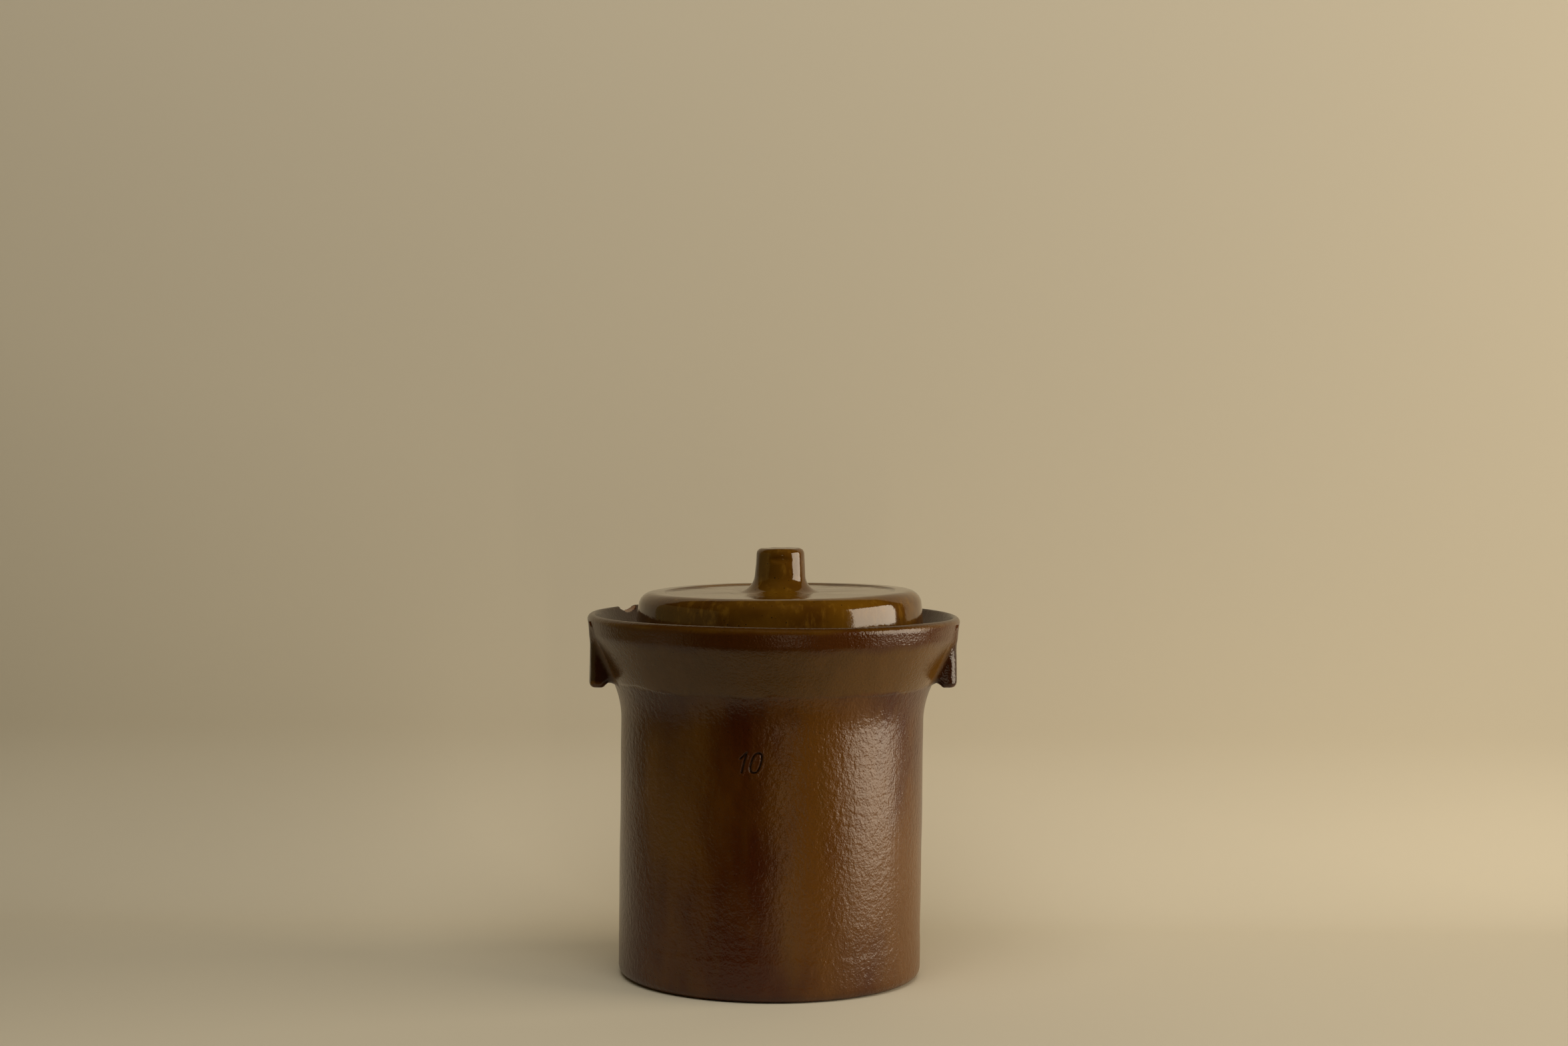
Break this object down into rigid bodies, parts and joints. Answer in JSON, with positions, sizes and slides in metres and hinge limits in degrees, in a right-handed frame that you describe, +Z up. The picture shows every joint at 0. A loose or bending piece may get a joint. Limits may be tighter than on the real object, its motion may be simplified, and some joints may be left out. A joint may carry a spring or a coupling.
{
  "type": "water-seal fermentation crock",
  "caption": "Straight-sided glazed stoneware crock with a flared water gutter, strap handles, loose knobbed lid and half-moon weight stones, for fermenting and storing food.",
  "frame": {"origin": "centre of the flat base, on the surface the crock stands on", "axes": "+Z up along the crock's axis, X through the two handles with +X to the right of the front, -Y towards the front, where the capacity number is pressed in"},
  "size_m": [0.31, 0.31, 0.3537],
  "materials": {
    "brown_glaze": "glossy brown salt-type glaze over stoneware, olive-brown on the gutter's flare and red-brown on the body, with a fine orange-peel surface",
    "lid_glaze": "smooth glossy honey-brown glaze over stoneware",
    "bare_stoneware": "unglazed buff stoneware with a fine sandy grain"
  },
  "bodies": {
    "crock": {"vessel": "brown_glaze", "gutter_ring": "brown_glaze", "handle_right": "brown_glaze", "handle_left": "brown_glaze"},
    "lid": {"lid_cap": "lid_glaze", "lid_knob": "lid_glaze"},
    "stone_right": {"weight_stone_right": "bare_stoneware"},
    "stone_left": {"weight_stone_left": "bare_stoneware"}
  },
  "joints": [
    {"name": "lid_lift", "type": "slide", "parent": "crock", "child": "lid", "axis": [0, 0, 1], "range_m": [0, 0.25]},
    {"name": "stone_right_lift", "type": "slide", "parent": "crock", "child": "stone_right", "axis": [0, 0, 1], "range_m": [0, 0.265]},
    {"name": "stone_left_lift", "type": "slide", "parent": "crock", "child": "stone_left", "axis": [0, 0, 1], "range_m": [0, 0.265]}
  ]
}
